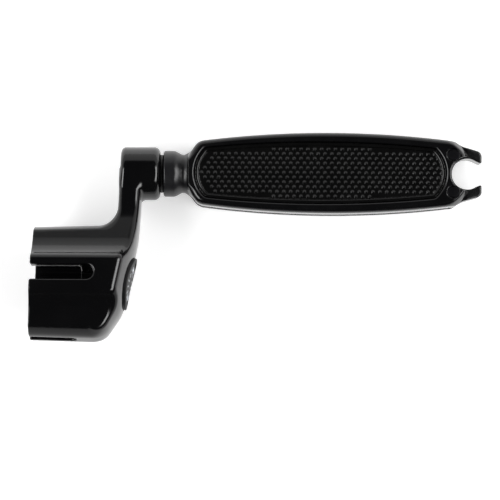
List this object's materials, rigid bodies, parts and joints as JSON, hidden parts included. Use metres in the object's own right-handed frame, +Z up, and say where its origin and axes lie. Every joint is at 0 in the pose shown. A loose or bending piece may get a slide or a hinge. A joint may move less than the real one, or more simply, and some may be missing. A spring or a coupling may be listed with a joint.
{
  "type": "string winder",
  "caption": "Hand-held string winder: a crank with a slotted peg head turning on a barrel-shaped textured handle that ends in an open bridge pin puller notch.",
  "frame": {"origin": "on the table under the middle of the resting winder's box", "axes": "+X along the swivel axis from the peg head to the puller, +Z up, off the table"},
  "size_m": [0.1344, 0.0626, 0.0305],
  "materials": {
    "crank_abs": "glossy black moulded ABS",
    "badge_abs": "glossy black with bright raised rings",
    "axle_steel": "turned bright steel",
    "spring_steel": "blackened spring steel",
    "washer_nylon": "black nylon",
    "bush_acetal": "satin charcoal acetal",
    "shell_abs": "semi-gloss black moulded ABS",
    "grip_rubber": "black rubber with staggered bumps",
    "fork_nylon": "black glass-filled nylon",
    "pin_steel": "blackened steel"
  },
  "bodies": {
    "crank": {"crank": "crank_abs", "head_badge": "badge_abs", "axle_pin": "axle_steel", "thrust_washer": "washer_nylon", "retainer_washer": "axle_steel", "retaining_clip": "spring_steel"},
    "handle": {"swivel_bush": "bush_acetal", "upper_shell": "shell_abs", "lower_shell": "shell_abs", "upper_grip_pad": "grip_rubber", "lower_grip_pad": "grip_rubber", "puller_fork": "fork_nylon", "fork_pin_left": "pin_steel", "fork_pin_right": "pin_steel", "shell_screw_front": "axle_steel", "shell_screw_middle": "axle_steel", "shell_screw_rear": "axle_steel"}
  },
  "joints": [
    {"name": "handle_swivel", "type": "hinge", "parent": "crank", "child": "handle", "pos_m": [-0.02029, 0.01906, 0.00825], "axis": [1, 0, 0], "continuous": true}
  ]
}
